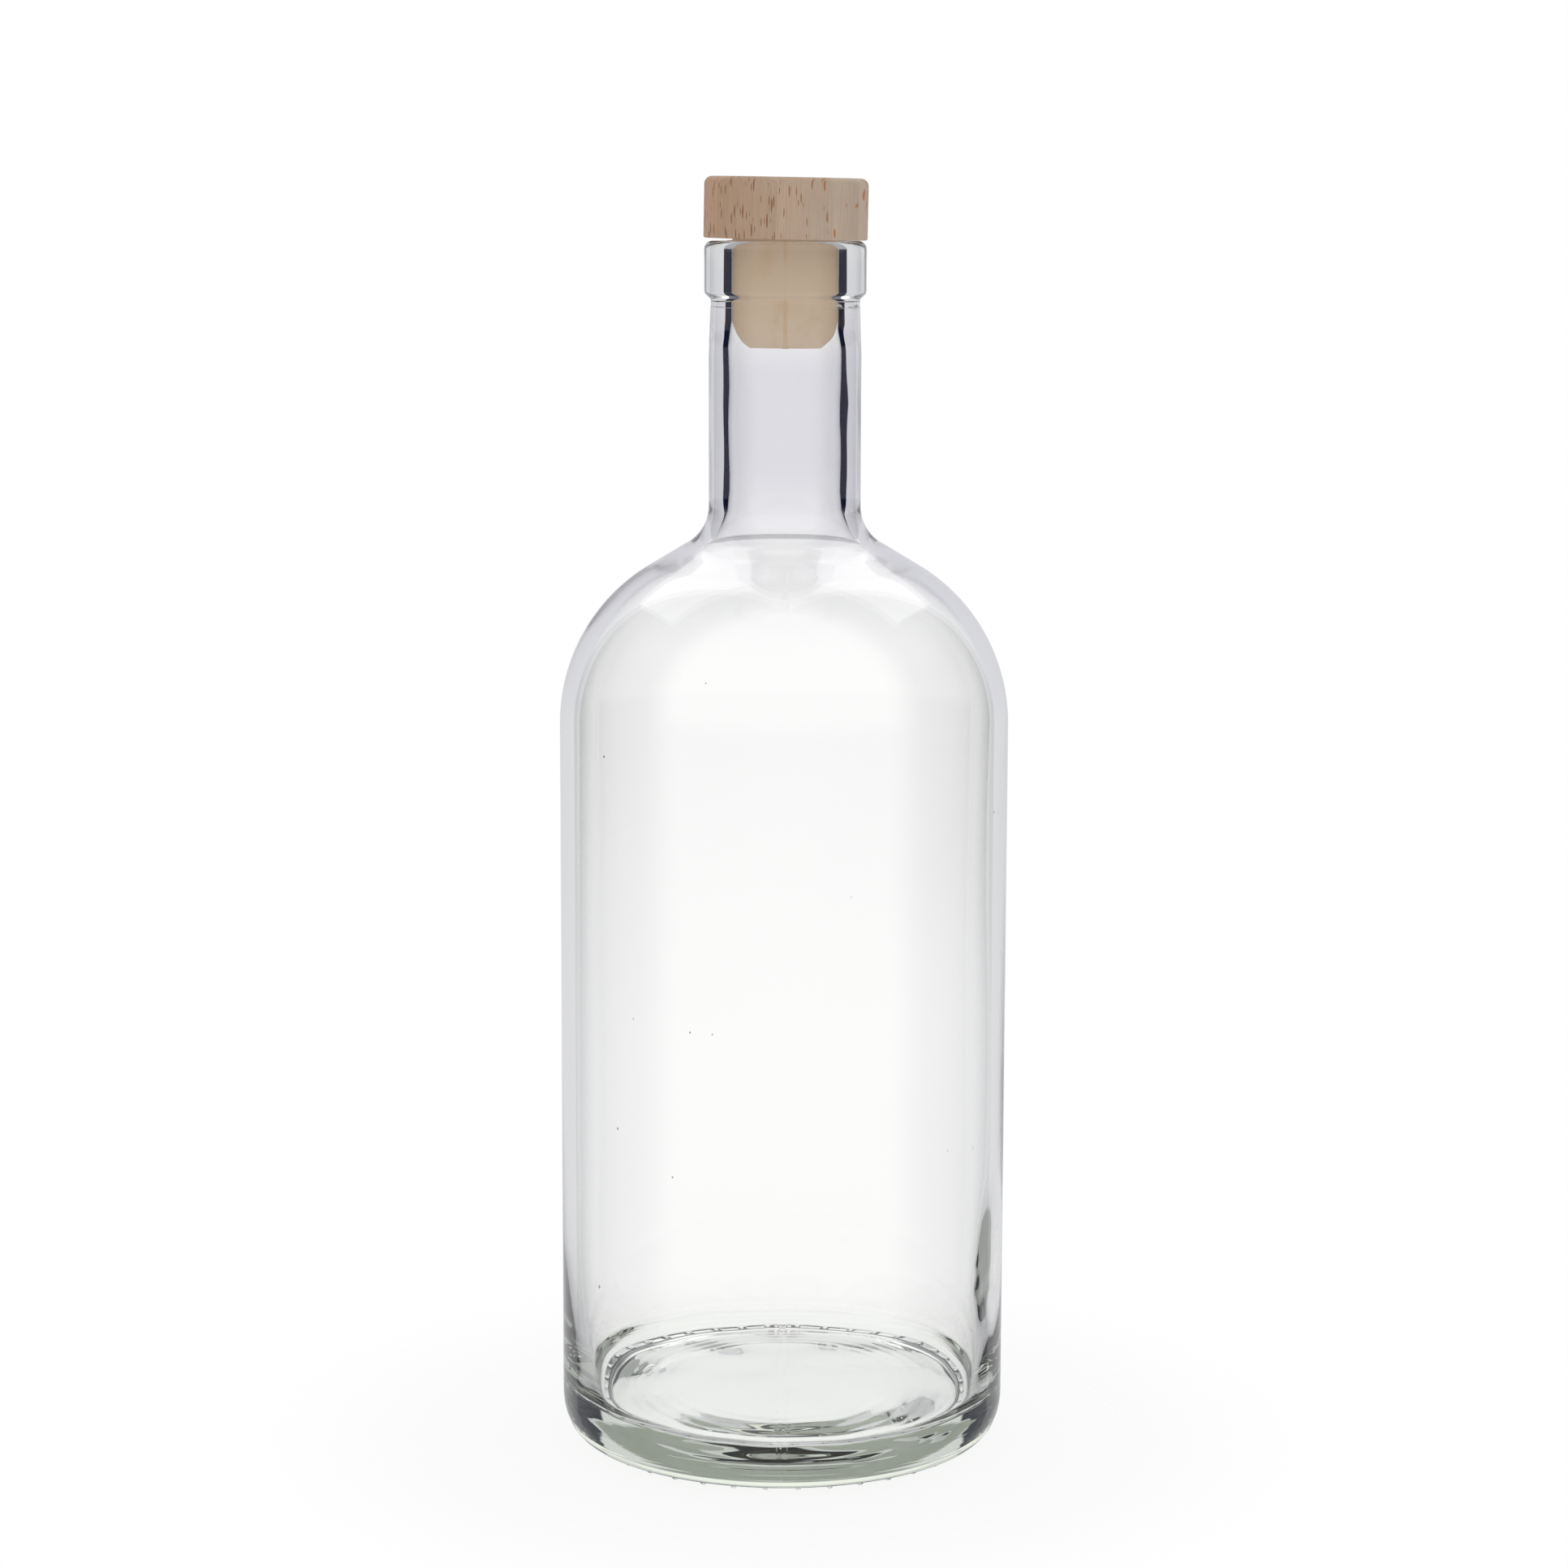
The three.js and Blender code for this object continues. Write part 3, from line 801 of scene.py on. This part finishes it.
def buildFloor():
    bm = bmesh.new()
    bmesh.ops.create_circle(bm, cap_ends=True, segments=96, radius=studio["floorRadius"])
    material, tree = newTree("paper_sweep")
    place = addNode(tree, "ShaderNodeTexCoord").outputs["Object"]
    reach = addNode(tree, "ShaderNodeVectorMath", {"operation": "LENGTH"}, {0: place})
    fades = []
    for name, least in (("floorFade", studio["floorFaintness"]), ("floorDeepFade", 0.0)):
        near, far = studio[name]
        fades.append(addNode(tree, "ShaderNodeMapRange", {"interpolation_type": "SMOOTHSTEP"}, {
            "Value": reach.outputs["Value"], "From Min": near, "From Max": far,
            "To Min": least}).outputs[0])
    path = addNode(tree, "ShaderNodeLightPath")
    colour = linear(studio["floorColour"])
    # painted shade: the paper turns grey for rays that the glass has mirrored, and darker for rays that
    # came through the thick base
    for times, name in ((0.5, "floorShadeMirrored"), (1.5, "floorShadeDeep")):
        more = addNode(tree, "ShaderNodeMath", {"operation": "GREATER_THAN"}, {
            0: path.outputs["Glossy Depth"], 1: times})
        colour = addNode(tree, "ShaderNodeMix", {"data_type": "RGBA"}, {
            0: more.outputs[0], 6: colour, 7: linear(studio[name])}).outputs[2]
    paper = addNode(tree, "ShaderNodeBsdfDiffuse", {}, {"Color": colour})
    fade = addNode(tree, "ShaderNodeMix", {"data_type": "FLOAT"}, {
        0: more.outputs[0], 2: fades[0], 3: fades[1]})
    beyond = addNode(tree, "ShaderNodeBsdfTransparent")
    surface = addNode(tree, "ShaderNodeMixShader", {}, {
        0: fade.outputs[0], 1: paper.outputs[0], 2: beyond.outputs[0]})
    addNode(tree, "ShaderNodeOutputMaterial", {}, {"Surface": surface.outputs[0]})
    floor = makePiece("floor", bm, material)


def buildSoftboxes():
    # two boxes overhead, left and right, whose fronts slant towards the middle
    b = softboxes
    rise = b["height"] - b["overShoulder"]
    for side, name in ((-1, "softbox_left"), (1, "softbox_right")):
        box = bpy.data.lights.new(name, "AREA")
        box.shape = "RECTANGLE"
        box.size = b["across"] * rise
        box.size_y = b["along"] * rise
        box.energy = b["brightness"] * math.pi * box.size * box.size_y
        lamp = bpy.data.objects.new(name, box)
        lamp.location = (side * b["centre"][0] * rise, b["centre"][1] * rise, b["height"])
        lamp.rotation_euler = (0, 0, math.radians(-side * b["turn"]))
        scene.collection.objects.link(lamp)


# The camera, from the outline of the photographed bottle: 0.69 m away, at the height of the stopper

view = {
    "distance": 0.6916,
    "height": 0.2322,
    "pitch": 8.2,
    "roll": 0.173,
    "focal": 85.91,
    "shiftY": -0.0283,
}


def buildCamera():
    data = bpy.data.cameras.new("camera")
    data.lens = view["focal"]
    data.sensor_width = 36
    data.shift_y = view["shiftY"]
    camera = bpy.data.objects.new("camera", data)
    camera.location = (0, -view["distance"], view["height"])
    aim = Matrix.Rotation(math.radians(90 - view["pitch"]), 4, "X")
    aim = aim @ Matrix.Rotation(math.radians(view["roll"]), 4, "Z")
    camera.rotation_euler = aim.to_euler()
    scene.collection.objects.link(camera)
    scene.camera = camera


scene = bpy.context.scene
buildCamera()
print("camera set")
buildBottle(flintGlass())
buildSeeds(seedGas())
print("glass made")
buildHead(beech())
buildShank(elastomer())
print("stopper made")
buildWorld()
buildFloor()
buildSoftboxes()
print("studio lit")

scene.view_settings.view_transform = "Standard"
scene.cycles.max_bounces = 24
scene.cycles.glossy_bounces = 9
scene.cycles.transmission_bounces = 24
scene.cycles.transparent_max_bounces = 24
